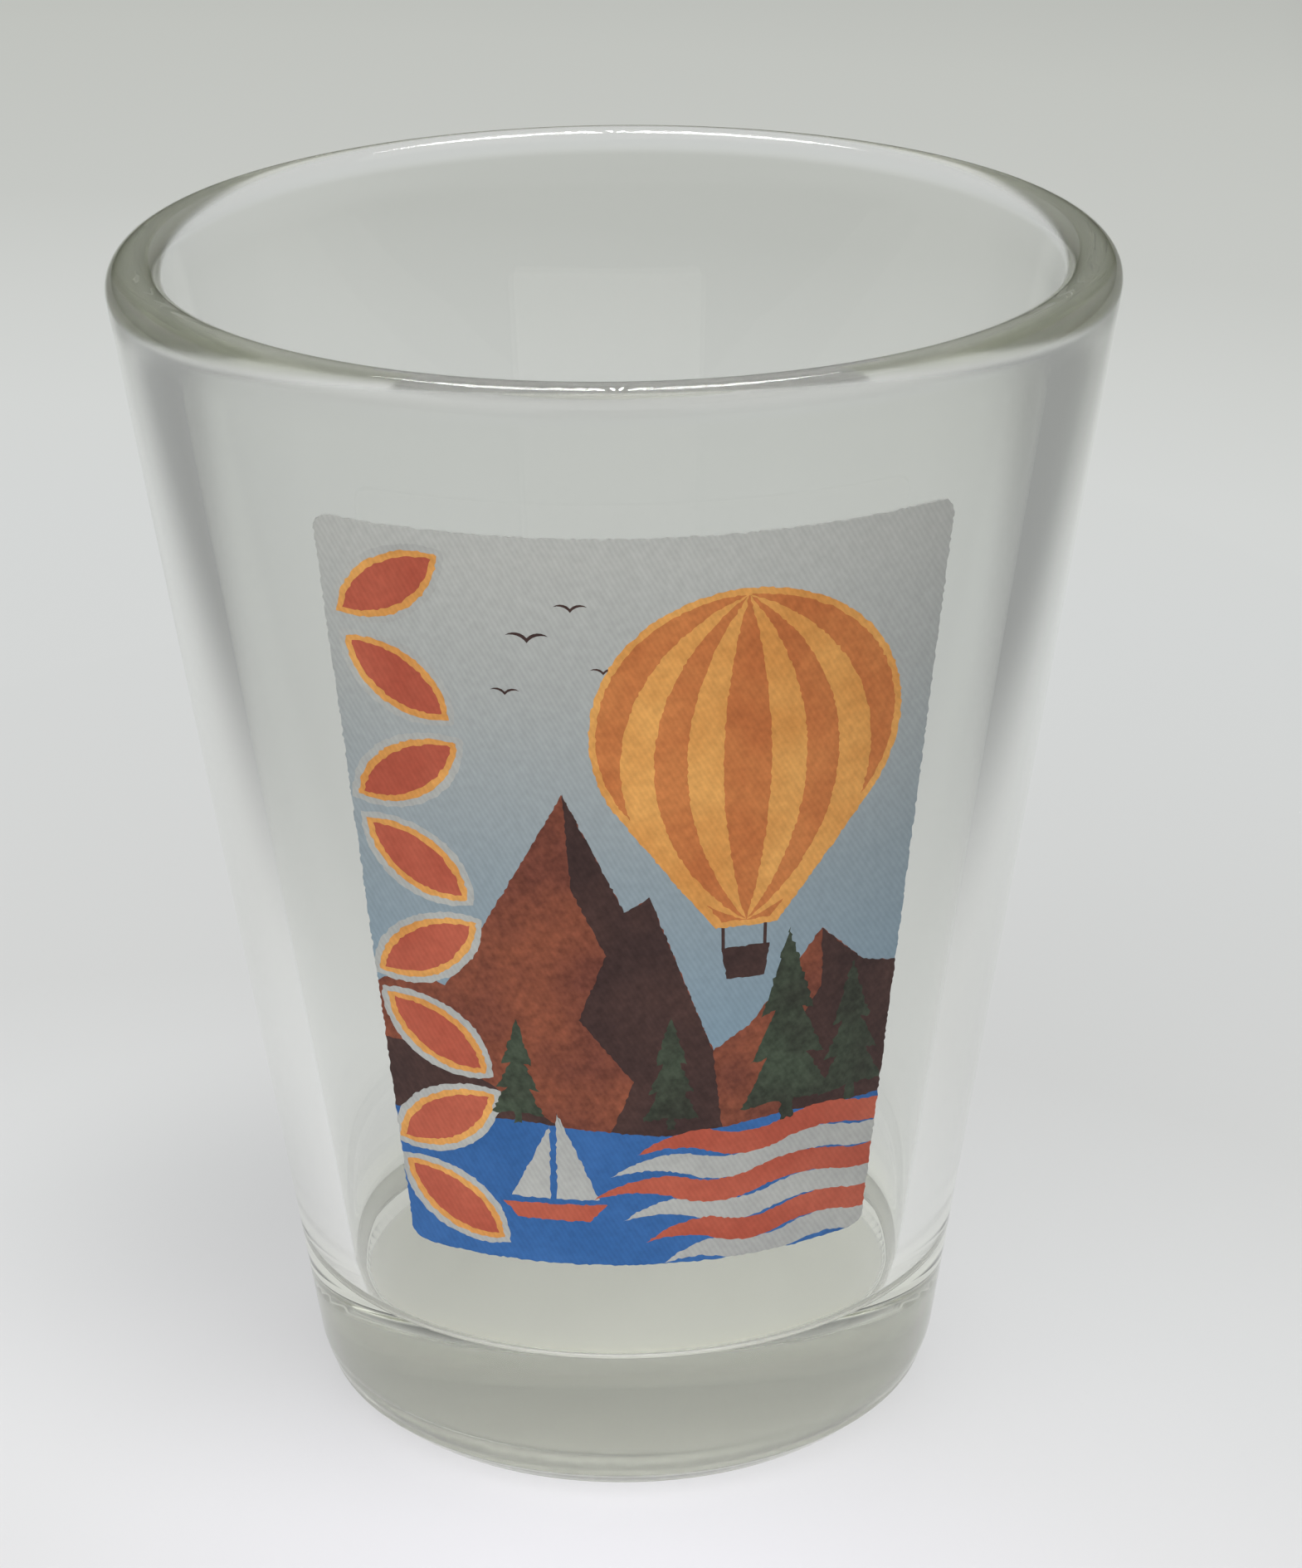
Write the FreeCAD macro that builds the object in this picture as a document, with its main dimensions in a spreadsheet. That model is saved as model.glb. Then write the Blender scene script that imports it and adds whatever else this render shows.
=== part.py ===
"""Souvenir shot glass: one pressed glass body and, on its front wall, a picture made of ten thin films.

Frame: +Z up, origin at the centre of the foot plane, picture facing -Y, millimetres.  The picture shows a
hot-air balloon over mountains and a lake, with a column of leaves beside it.
"""
import FreeCAD, Part
import math
import os

import Sketcher

# Driving dimensions: millimetres, and degrees where the name says angle.  One that begins with "=" follows
# from the others.
DIMENSIONS = {
    "glass_height": 60.0,  # foot plane to rim
    "wall_top_radius": 24.28,  # outer wall line at the rim plane
    "wall_foot_radius": 15.46,  # outer wall line at the foot plane
    "rim_thickness": 2.75,  # across the wall at the rim plane
    "rim_round": 1.35,  # both edges of the rim
    "cavity_floor_radius": 14.2,  # inner wall line at the cavity floor
    "floor_thickness": 8.2,  # foot plane to cavity floor
    "floor_round": 0.9,  # between cavity floor and inner wall
    "heel_round": 4.0,  # between outer wall and foot
    "punt_radius": 9.6,  # inner edge of the ring that the glass stands on
    "punt_depth": 0.7,  # hollow inside that ring
    "print_low": 14.8,  # lower edge of the picture above the foot plane
    "print_height": 38.4,
    "print_angle": 75.4,  # share of the wall that the picture covers
    "ground_film": 0.08,  # pale ground of the picture, across the wall
    "ink_film": 0.08,  # every ink on that ground
    "film_gap": 0.02,  # bond between a film and what it is laid on
    "balloon_radius": 6.8,
    "balloon_mouth": 1.1,  # half the width of the envelope's open end
    "balloon_drop": 9.8,  # centre of the envelope to its open end
    "balloon_edge": 0.32,  # yellow line round the envelope
    "basket_width": 2.3,
    "basket_height": 1.7,
    "basket_gap": 1.4,  # open end of the envelope to the basket
    "leaf_length": "=0.13 * print_height",
    "leaf_width": "=0.4 * leaf_length",
    "leaf_edge": "=0.068 * leaf_length",  # yellow line round a leaf, and the white line round that
    "pine_height": 10.5,
    "wave_height": 1.25,  # each band of light on the water
    "boat_length": 4.9,
}

# Places in the picture are pairs: from -1 at its left side to +1 at its right, and from 0 at its lower edge
# to 1 at its upper one.  What overshoots the picture is trimmed by it.
PICTURE = [(-1.2, -0.05), (1.2, -0.05), (1.2, 1.05), (-1.2, 1.05)]
MOUNTAINS = [(-1.2, 0.17), (-1.2, 0.33), (-0.86, 0.41), (-0.74, 0.39), (-0.27, 0.67), (-0.06, 0.51),
             (0.03, 0.53), (0.28, 0.31), (0.42, 0.34), (0.68, 0.46), (0.86, 0.4), (1.2, 0.36), (1.2, 0.17)]
SHADED_SLOPES = {
    "high": [(-0.27, 0.67), (-0.06, 0.51), (0.03, 0.53), (0.28, 0.31), (0.34, 0.17), (-0.16, 0.17),
             (-0.03, 0.27), (-0.24, 0.36), (-0.13, 0.45), (-0.25, 0.54)],
    "low": [(0.68, 0.46), (0.86, 0.4), (1.2, 0.36), (1.2, 0.17), (0.5, 0.17), (0.66, 0.25), (0.58, 0.31),
            (0.7, 0.38)],
    "shore": [(-1.2, 0.17), (-1.2, 0.29), (-0.8, 0.3), (-0.52, 0.24), (-0.3, 0.2), (-0.1, 0.17)],
}
LAKE = [(-1.2, -0.05), (-1.2, 0.19), (-0.5, 0.21), (0.1, 0.19), (0.6, 0.205), (1.2, 0.19), (1.2, -0.05)]
BALLOON = (0.36, 0.745)
PINES = [(0.12, 0.2, 0.6), (0.6, 0.195, 1.0), (0.87, 0.2, 0.74), (-0.5, 0.205, 0.55)]
PINE_TIERS = [(0.03, 0.0), (0.03, 0.1), (0.21, 0.08), (0.09, 0.34), (0.17, 0.32), (0.06, 0.58), (0.12, 0.56),
              (0.0, 1.0)]
LEAVES = 8
LEAF_SIDE = -0.79
LEAF_TILT = 38.0
WAVES = {
    "red": [(-0.02, 0.163), (-0.2, 0.098), (0.02, 0.033)],
    "white": [(-0.13, 0.1305), (-0.08, 0.0655), (0.1, 0.0005)],
}
WAVE_END = 1.2
WAVE_SWELLS = 4
WAVE_BEND = 1.3
BOAT = (-0.38, 0.065)
# Corners from the middle of the keel, as shares of the boat's length.
HULL = [(-0.47, 0.18), (-0.33, 0.0), (0.35, 0.0), (0.53, 0.2)]
SAILS = [[(-0.02, 0.25), (-0.02, 1.1), (-0.39, 0.25)], [(0.04, 0.25), (0.04, 1.27), (0.45, 0.25)]]


def size(name):
    """Expression text for one driving dimension."""
    return f"Dimensions.{name}"


def wall_radius(height):
    """Expression text for the outer wall's radius at a height above the foot plane."""
    lean = f"({size('wall_top_radius')} - {size('wall_foot_radius')}) / {size('glass_height')}"
    return f"({size('wall_foot_radius')} + {lean} * ({height}))"


def place(across, up):
    """Expression texts for a place in the picture, seen from the front: offset to the right, and height."""
    height = f"({size('print_low')} + {up} * {size('print_height')})"
    return f"({across} * {wall_radius(height)} * sin({size('print_angle')} / 2))", height


def arc_between(start, finish, radius, turn):
    """The shorter arc from start to finish, turning left where turn is 1 and right where it is -1."""
    chord = finish - start
    reach = math.sqrt(max(radius ** 2 - (chord.Length / 2) ** 2, 0.0))
    side = FreeCAD.Vector(-chord.y, chord.x, 0).normalize() * reach * turn
    centre = (start + finish) / 2 + side
    first, last = (start, finish) if turn > 0 else (finish, start)
    angles = [math.atan2(point.y - centre.y, point.x - centre.x) for point in (first, last)]
    circle = Part.Circle(centre, FreeCAD.Vector(0, 0, 1), radius)
    return Part.ArcOfCircle(circle, angles[0], angles[1])


def bind(sketch, kind, geometry, corner, text):
    """Constraint on one piece of geometry whose value is an expression."""
    found = sketch.evalExpression(text)
    places = (geometry, corner) if corner else (geometry,)
    number = sketch.addConstraint(Sketcher.Constraint(kind, *places, found))
    sketch.setExpression(f"Constraints[{number}]", text)


def draw(sketch, corners):
    """Closed outline.  A corner is (across, up), or (across, up, radius, turn) where an arc starts at it."""
    points = [FreeCAD.Vector(*(sketch.evalExpression(text) for text in corner[:2])) for corner in corners]
    ends = []
    for index, corner in enumerate(corners):
        start, finish = points[index], points[(index + 1) % len(points)]
        if len(corner) == 2:
            sketch.addGeometry(Part.LineSegment(start, finish))
            ends.append((1, 2))
        else:
            sketch.addGeometry(arc_between(start, finish, sketch.evalExpression(corner[2]), corner[3]))
            ends.append((1, 2) if corner[3] > 0 else (2, 1))
    for index, corner in enumerate(corners):
        following = (index + 1) % len(corners)
        sketch.addConstraint(Sketcher.Constraint("Coincident", index, ends[index][1],
                                                 following, ends[following][0]))
        bind(sketch, "DistanceX", index, ends[index][0], corner[0])
        bind(sketch, "DistanceY", index, ends[index][0], corner[1])
        if len(corner) > 2:
            bind(sketch, "Radius", index, None, corner[2])


def new_body(document, name, plane, corners, angle):
    """Body turned round its upright axis from an outline on one of its origin planes."""
    body = document.addObject("PartDesign::Body", name)
    section = body.newObject("Sketcher::SketchObject", name + "_section")
    origin_plane = [item for item in body.Origin.OriginFeatures if item.Role == plane][0]
    section.AttachmentSupport = [(origin_plane, "")]
    section.MapMode = "FlatFace"
    document.recompute()
    draw(section, corners)
    turned = body.newObject("PartDesign::Revolution", name + "_turned")
    turned.Profile = section
    turned.ReferenceAxis = (section, ["V_Axis"])
    turned.Midplane = True
    turned.setExpression("Angle", angle)
    document.recompute()
    return body


def round_edges(body, name, places, radius):
    """Fillet of the level circular edges at the given (radius, height) pairs."""
    base = body.Tip
    wanted = [[base.evalExpression(text) for text in pair] for pair in places]
    edges = []
    for number, edge in enumerate(base.Shape.Edges, 1):
        if edge.Degenerated or not isinstance(edge.Curve, Part.Circle):
            continue
        for across, height in wanted:
            if abs(edge.Curve.Radius - across) < 1e-4 and abs(edge.Curve.Center.z - height) < 1e-4:
                edges.append(f"Edge{number}")
    fillet = body.newObject("PartDesign::Fillet", name)
    fillet.Base = (base, edges)
    fillet.setExpression("Radius", radius)
    body.Document.recompute()


def make_glass(document):
    """Pressed body: leaning wall, rounded rim, thick floor, rounded heel and a punt under the foot."""
    height, floor = size("glass_height"), size("floor_thickness")
    rim_inside = f"({size('wall_top_radius')} - {size('rim_thickness')})"
    ring, depth = size("punt_radius"), size("punt_depth")
    corners = [
        ("0", floor),
        ("0", depth, f"({ring} ^ 2 + {depth} ^ 2) / (2 * {depth})", -1),
        (ring, "0"),
        (size("wall_foot_radius"), "0"),
        (size("wall_top_radius"), height),
        (rim_inside, height),
        (size("cavity_floor_radius"), floor),
    ]
    body = new_body(document, "glass_body", "XZ_Plane", corners, "360")
    rim = [(size("wall_top_radius"), height), (rim_inside, height)]
    round_edges(body, "rim_edges", rim, f"min({size('rim_round')}; 0.49 * {size('rim_thickness')})")
    round_edges(body, "floor_edge", [(size("cavity_floor_radius"), floor)], size("floor_round"))
    round_edges(body, "heel_edge", [(size("wall_foot_radius"), "0")], size("heel_round"))
    return body


def film(document, name, under, thickness):
    """Sector of a film round the wall, as high and wide as the picture, its back off the wall by under."""
    low = size("print_low")
    high = f"({low} + {size('print_height')})"
    corners = []
    for height, offset in ((low, under), (low, f"{under} + {thickness}"), (high, f"{under} + {thickness}"),
                           (high, under)):
        corners.append((f"-({wall_radius(height)} + {offset})", height))
    return new_body(document, name, "YZ_Plane", corners, size("print_angle"))


def flat(document, name, corners):
    """Face inside an outline, drawn on the front plane."""
    sketch = document.addObject("Sketcher::SketchObject", name + "_outline")
    sketch.Placement = FreeCAD.Placement(FreeCAD.Vector(), FreeCAD.Rotation(FreeCAD.Vector(1, 0, 0), 90))
    draw(sketch, corners)
    face = document.addObject("Part::Face", name)
    face.Sources = [sketch]
    face.FaceMakerClass = "Part::FaceMakerSimple"
    return face


def inked(document, name, region, layer):
    """Film of one ink: where a flat region, carried forwards, meets the ink layer."""
    block = document.addObject("Part::Extrusion", name + "_block")
    block.Base = region
    block.DirMode = "Custom"
    block.Dir = FreeCAD.Vector(0, -1, 0)
    block.setExpression("LengthFwd", f"2 * {size('wall_top_radius')}")
    return combined(document, "Part::Common", name, layer, block)


def joined(document, name, shapes):
    """One face set from several, or the only one."""
    if len(shapes) == 1:
        return shapes[0]
    union = document.addObject("Part::MultiFuse", name)
    union.Shapes = shapes
    return union


def combined(document, kind, name, base, tool):
    """Part::Cut or Part::Common of two shapes."""
    result = document.addObject(kind, name)
    result.Base = base
    result.Tool = tool
    return result


def shifted(anchor, across, up):
    """Corner at an offset from an anchor, both as expression texts."""
    return (f"{anchor[0]} + {across}", f"{anchor[1]} + {up}")


def envelope(document, name, grown):
    """Balloon envelope, larger all round by the expression in grown: a ball drawn down to an open mouth."""
    centre = place(*BALLOON)
    radius = f"({size('balloon_radius')} + {grown})"
    mouth, drop = f"({size('balloon_mouth')} + {grown})", f"({size('balloon_drop')} + {grown})"
    shoulder = math.radians(-32)
    side, dip = f"{math.cos(shoulder):.6f} * {radius}", f"{math.sin(shoulder):.6f} * {radius}"
    corners = [
        (*shifted(centre, side, dip), radius, 1),
        (*shifted(centre, "0", radius), radius, 1),
        shifted(centre, f"(-{side})", dip),
        shifted(centre, f"(-{mouth})", f"(-{drop})"),
        shifted(centre, mouth, f"(-{drop})"),
    ]
    return flat(document, name, corners)


def gore(document, name, outer, inner, hand):
    """Yellow gore of the envelope: two arcs from crown to mouth, bowed by shares of its radius."""
    centre = place(*BALLOON)
    crown = shifted(centre, "0", size("balloon_radius"))
    mouth = shifted(centre, "0", f"(-{size('balloon_drop')})")
    length = f"({size('balloon_radius')} + {size('balloon_drop')})"

    def bend(share):
        bow = f"({share} * {size('balloon_radius')})"
        return f"({length} ^ 2 / 4 + {bow} ^ 2) / (2 * {bow})"

    return flat(document, name, [(*mouth, bend(outer), hand), (*crown, bend(inner), -hand)])


def make_balloon(document, inks):
    """Orange envelope with yellow gores and edge, and a brown basket under it."""
    ball = envelope(document, "balloon", "0")
    halo = envelope(document, "balloon_halo", size("balloon_edge"))
    rim = combined(document, "Part::Cut", "balloon_rim", halo, ball)
    gores = []
    for hand, side in ((1, "right"), (-1, "left")):
        gores.append(gore(document, "gore_" + side, 0.84, 0.62, hand))
        gores.append(gore(document, "gore_inner_" + side, 0.4, 0.16, hand))
    stripes = combined(document, "Part::Common", "balloon_gores", ball, joined(document, "gores", gores))
    centre = place(*BALLOON)
    half, deep = f"{size('basket_width')} / 2", size("basket_height")
    top = f"(-{size('balloon_drop')} - {size('basket_gap')})"
    basket = flat(document, "basket", [
        shifted(centre, f"(-{half})", top),
        shifted(centre, f"(-0.75 * {half})", f"({top} - {deep})"),
        shifted(centre, f"0.75 * {half}", f"({top} - {deep})"),
        shifted(centre, half, top),
    ])
    inks["print_orange"].append(ball)
    inks["print_yellow"] += [rim, stripes]
    inks["print_brown"].append(basket)


def make_leaves(document, inks):
    """Column of tilted leaves, each red-orange with a yellow line round it and a white line round that."""
    for index in range(LEAVES):
        centre = place(LEAF_SIDE, (index + 0.62) / (LEAVES + 0.24))
        tilt = math.radians(LEAF_TILT if index % 2 else 180 - LEAF_TILT)
        for ink, lines in (("print_red", 0), ("print_yellow", 1), ("print_white", 2)):
            length = f"({size('leaf_length')} + {2 * lines} * {size('leaf_edge')})"
            width = f"({size('leaf_width')} + {2 * lines} * {size('leaf_edge')})"
            bend = f"({length} ^ 2 + {width} ^ 2) / (4 * {width})"
            across, up = (f"{part:.6f} * {length} / 2" for part in (math.cos(tilt), math.sin(tilt)))
            tips = [shifted(centre, across, up), shifted(centre, f"(-{across})", f"(-{up})")]
            name = f"leaf_{index + 1}_{lines}"
            inks[ink].append(flat(document, name, [(*tip, bend, 1) for tip in tips]))


def make_pines(document, inks):
    """Pines in three tiers, each a share of the tallest."""
    right = PINE_TIERS
    left = [(-across, up) for across, up in reversed(PINE_TIERS[:-1])]
    for index, (across, up, share) in enumerate(PINES):
        foot = place(across, up)
        tall = f"{share} * {size('pine_height')}"
        corners = [shifted(foot, f"({x} * {tall})", f"{y} * {tall}") for x, y in right + left]
        inks["print_green"].append(flat(document, f"pine_{index + 1}", corners))


def wave_band(document, name, start, up):
    """Wavy band of light on the lake, from a pointed start to past the right side of the picture."""
    step = (WAVE_END - start) / WAVE_SWELLS
    lower, upper = [], []
    for index in range(WAVE_SWELLS + 1):
        across, height = place(round(start + index * step, 4), up)
        bend = f"({WAVE_BEND * step:.4f} * {wall_radius(height)} * sin({size('print_angle')} / 2))"
        swell = 1 if index % 2 else -1
        lower.append((across, height, bend, swell))
        upper.append((across, f"{height} + {size('wave_height')}", bend, swell))
    lower[-1] = lower[-1][:2]
    return flat(document, name, lower + upper[:0:-1])


def boat_part(document, name, shares):
    """Hull or sail of the boat."""
    keel, length = place(*BOAT), size("boat_length")
    return flat(document, name, [shifted(keel, f"({x} * {length})", f"({y} * {length})") for x, y in shares])


def make_water(document, inks):
    """Blue lake with red and white bands of light, and a red boat with two white sails."""
    inks["print_blue"].append(flat(document, "lake", [place(*pair) for pair in LAKE]))
    for colour, starts in WAVES.items():
        for index, start in enumerate(starts):
            inks["print_" + colour].append(wave_band(document, f"wave_{colour}_{index + 1}", *start))
    inks["print_red"].append(boat_part(document, "hull", HULL))
    for index, sail in enumerate(SAILS):
        inks["print_white"].append(boat_part(document, f"sail_{index + 1}", sail))


def make_picture(document):
    """Ground film over the whole picture and, on it, inks that meet edge to edge."""
    ink_back = f"2 * {size('film_gap')} + {size('ground_film')}"
    ground = film(document, "print_ground", size("film_gap"), size("ground_film"))
    # Rearmost first: what two motifs share goes to the later ink.
    order = ("terracotta", "brown", "blue", "white", "orange", "yellow", "red", "green")
    inks = {"print_" + colour: [] for colour in order}
    inks["print_terracotta"].append(flat(document, "mountains", [place(*pair) for pair in MOUNTAINS]))
    for name, pairs in SHADED_SLOPES.items():
        inks["print_brown"].append(flat(document, name + "_slope", [place(*pair) for pair in pairs]))
    make_water(document, inks)
    make_balloon(document, inks)
    make_leaves(document, inks)
    make_pines(document, inks)

    layer = film(document, "ink_layer", ink_back, size("ink_film"))
    bare = flat(document, "picture", [place(*pair) for pair in PICTURE])
    films = [ground]
    for name in reversed(list(inks)):
        shapes = joined(document, name + "_shapes", inks[name])
        region = combined(document, "Part::Common", name + "_region", bare, shapes)
        films.append(inked(document, name, region, layer))
        bare = combined(document, "Part::Cut", name + "_spared", bare, shapes)
    return films + [inked(document, "print_sky", bare, layer)]


def main():
    """Build the document, check every object in it and write one STEP file for each sub-part."""
    document = FreeCAD.newDocument("shot_glass")
    sheet = document.addObject("Spreadsheet::Sheet", "Dimensions")
    for row, (alias, value) in enumerate(DIMENSIONS.items(), 1):
        sheet.set(f"A{row}", alias)
        sheet.set(f"B{row}", str(value))
        sheet.setAlias(f"B{row}", alias)
    document.recompute()

    subparts = [make_glass(document)] + make_picture(document)
    document.recompute()

    for item in document.Objects:
        if "Invalid" in item.State or "Error" in item.State:
            raise RuntimeError(f"{item.Name} is {item.State}")
    os.makedirs("parts", exist_ok=True)
    for item in subparts:
        if item.Shape.isNull() or not item.Shape.isValid() or not item.Shape.Solids:
            raise RuntimeError(f"{item.Label} has no valid solid")
    for item in subparts:
        item.Shape.exportStep(f"parts/{item.Label}.step")
        print(item.Label, len(item.Shape.Solids), round(item.Shape.Volume, 3))


main()
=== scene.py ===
"""Looks of a souvenir shot glass: a pressed glass body and a picture of ten ink films on its front wall.

The picture shows a hot-air balloon over mountains and a lake, with a column of leaves beside it.
Metres, +Z up, origin at the centre of the foot; the picture faces -Y.
"""
import math
import random

import bpy
from mathutils import Matrix, Vector


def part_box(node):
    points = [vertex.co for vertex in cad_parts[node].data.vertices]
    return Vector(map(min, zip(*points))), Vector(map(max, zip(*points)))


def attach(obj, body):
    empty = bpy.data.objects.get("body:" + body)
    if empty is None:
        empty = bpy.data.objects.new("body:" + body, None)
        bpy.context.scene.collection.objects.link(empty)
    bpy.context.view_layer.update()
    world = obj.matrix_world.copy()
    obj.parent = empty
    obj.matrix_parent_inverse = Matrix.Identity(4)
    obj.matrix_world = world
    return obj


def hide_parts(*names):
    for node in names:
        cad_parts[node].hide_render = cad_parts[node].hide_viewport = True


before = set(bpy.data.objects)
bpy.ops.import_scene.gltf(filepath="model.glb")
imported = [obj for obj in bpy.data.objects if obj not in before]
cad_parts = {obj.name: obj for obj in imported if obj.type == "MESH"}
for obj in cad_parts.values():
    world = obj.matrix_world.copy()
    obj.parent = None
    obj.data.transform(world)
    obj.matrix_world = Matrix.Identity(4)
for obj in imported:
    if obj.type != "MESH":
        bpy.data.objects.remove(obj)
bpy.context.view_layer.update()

MM = 0.001

# Glass
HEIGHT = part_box("glass_body")[1].z
WALL_TOP = 24.28 * MM  # outer wall line at the rim plane
WALL_FOOT = 15.46 * MM  # outer wall line at the foot plane
RIM_THICKNESS = 2.75 * MM
CAVITY_FLOOR = 14.2 * MM  # inner wall line at the cavity floor
FLOOR = 8.2 * MM
FLOOR_ROUND = 0.9 * MM
HEEL_ROUND = 4.0 * MM
PUNT_RADIUS = 9.6 * MM
PUNT_DEPTH = 0.7 * MM
FACETS = 384
WALL_STEPS = 30
HEEL_STEPS = 40
RIM_STEPS = 26
FLOOR_ROUND_STEPS = 14
FOOT_MARGIN = 1.0 * MM  # flat left plain between the punt and the mould marks
RIBS = 128
RIB_DEPTH = 0.05 * MM
RIB_BAND = (0.6 * MM, 1.5 * MM)
BEAD_HEIGHT = 1.75 * MM
BEAD_WIDTH = 0.3 * MM
BEAD_RISE = 0.12 * MM
SEAM_HEIGHT = 3.0 * MM
SEAM_WIDTH = 0.3 * MM
SEAM_DEPTH = 0.12 * MM
SEAM_MIDDLE = math.radians(-112)  # the mould seam shows on this side and fades round the heel

# Picture
PRINT_LOW, PRINT_HIGH = (corner.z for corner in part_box("print_ground"))
HALF_ANGLE = math.radians(37.7)
GROUND_FILM = 0.08 * MM
INK_FILM = 0.08 * MM
FILM_GAP = 0.02 * MM
SUNK = 0.03 * MM  # how far a film's back lies below the surface it is laid on
CORNER_ROUND = 0.7 * MM
GROUND_INSET = 0.12 * MM  # how far the ground stops short of the inks
POINT_STEP = 0.17 * MM  # spacing of points along a printed edge
RAGGED = 0.045 * MM  # how far a printed edge wanders
SLIVER = 0.001 * MM  # edges shorter than this are closed up
FRONT = -32 * MM  # the cutting blocks start in front of the wall
BLOCK_DEPTH = 26 * MM

# Places in the picture: across from -1 to +1, up from 0 to 1
PICTURE = [(-1.0, 0.0), (1.0, 0.0), (1.0, 1.0), (-1.0, 1.0)]
MOUNTAINS = [(-1.2, 0.17), (-1.2, 0.33), (-0.86, 0.41), (-0.74, 0.39), (-0.27, 0.67), (-0.06, 0.51),
             (0.03, 0.53), (0.28, 0.31), (0.42, 0.34), (0.68, 0.46), (0.86, 0.4), (1.2, 0.36), (1.2, 0.17)]
SHADED_SLOPES = {
    "high": [(-0.27, 0.67), (-0.06, 0.51), (0.03, 0.53), (0.28, 0.31), (0.34, 0.17), (-0.16, 0.17),
             (-0.03, 0.27), (-0.24, 0.36), (-0.13, 0.45), (-0.25, 0.54)],
    "low": [(0.68, 0.46), (0.86, 0.4), (1.2, 0.36), (1.2, 0.17), (0.5, 0.17), (0.66, 0.25), (0.58, 0.31),
            (0.7, 0.38)],
    "shore": [(-1.2, 0.17), (-1.2, 0.29), (-0.8, 0.3), (-0.52, 0.24), (-0.3, 0.2), (-0.1, 0.17)],
}
LAKE = [(-1.2, -0.05), (-1.2, 0.19), (-0.5, 0.21), (0.1, 0.19), (0.6, 0.205), (1.2, 0.19), (1.2, -0.05)]
BALLOON = (0.36, 0.745)
BALLOON_RADIUS = 6.8 * MM
BALLOON_SHOULDER = math.radians(-32)  # where its round ends and its sides run straight to the mouth
BALLOON_MOUTH = 1.1 * MM
BALLOON_DROP = 9.8 * MM
BALLOON_EDGE = 0.32 * MM
BASKET_WIDTH = 2.3 * MM
BASKET_HEIGHT = 1.7 * MM
BASKET_GAP = 1.4 * MM
BASKET_TAPER = 0.75
ROPE = 0.16 * MM
ROPE_TUCK = 0.2 * MM  # how far a rope runs in under the envelope and the basket
ROPE_TOP, ROPE_END = 0.9, 0.42  # shares of the mouth's radius and of the basket's width
GORES = [(0.84, 0.62), (0.4, 0.16)]  # outer and inner bow as shares of the envelope's radius
# (across, up, span)
BIRDS = [(-0.36, 0.87, 1.9 * MM), (-0.22, 0.91, 1.5 * MM), (-0.44, 0.8, 1.3 * MM), (-0.12, 0.83, 1.2 * MM)]
WING_TIP, WING_DIP, WING_TOP = 0.12, 0.06, 0.07  # heights as shares of a bird's span
WING_BEND, WING_HOLLOW = 0.34, 0.42  # radii as shares of its span
LEAVES = 8
LEAF_SIDE = -0.79
LEAF_START = 0.62  # place of the lowest leaf, in steps of the column
LEAF_ROOM = 0.24  # what the column is longer than its leaves, in the same steps
LEAF_TILT = 38.0  # degrees
LEAF_LENGTH = 5.0 * MM
LEAF_WIDTH = 2.0 * MM
LEAF_EDGE = 0.34 * MM
# (across, up, share of the full height)
PINES = [(0.12, 0.2, 0.6), (0.6, 0.195, 1.0), (0.87, 0.2, 0.74), (-0.5, 0.205, 0.55)]
PINE_TIERS = [(0.03, 0.0), (0.03, 0.1), (0.21, 0.08), (0.09, 0.34), (0.17, 0.32), (0.06, 0.58),
              (0.12, 0.56), (0.0, 1.0)]  # right side from the foot up, as shares of the height
PINE_HEIGHT = 10.5 * MM
PINE_RAGGED = RAGGED * 1.6
# Where each band of light starts
WAVES = {
    "red": [(-0.02, 0.163), (-0.2, 0.098), (0.02, 0.033)],
    "white": [(-0.13, 0.1305), (-0.08, 0.0655), (0.1, 0.0005)],
}
WAVE_END = 1.2
WAVE_SWELLS = 4
WAVE_BEND = 1.3
WAVE_HEIGHT = 1.25 * MM
BOAT = (-0.38, 0.065)
BOAT_LENGTH = 4.9 * MM
HULL = [(-0.47, 0.18), (-0.33, 0.0), (0.35, 0.0), (0.53, 0.2)]
SAILS = [[(-0.02, 0.25), (-0.02, 1.1), (-0.39, 0.25)], [(0.04, 0.25), (0.04, 1.27), (0.45, 0.25)]]

# Finishes
# By height, from 0 at the foot to 1 a little above the cavity floor
GLASS_TINTS = [(0, (0.97, 0.98, 0.87, 1)), (0.07, (0.97, 0.98, 0.87, 1)), (0.1, (0.99, 1, 0.92, 1)),
               (0.8, (0.99, 1, 0.92, 1)), (1, (0.93, 0.935, 0.92, 1))]
FOOT_SOFTNESS = 0.75
RIM_SOFTNESS = 0.12  # roughness of the rim's flanks; its crown is polished
GLASS_SOFTNESS = [(0.75 * MM, FOOT_SOFTNESS), (1.0 * MM, 0), (HEIGHT - 3.2 * MM, 0),
                  (HEIGHT - 2.2 * MM, RIM_SOFTNESS), (HEIGHT - 0.4 * MM, RIM_SOFTNESS),
                  (HEIGHT - 0.2 * MM, 0), (HEIGHT, 0)]
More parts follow.
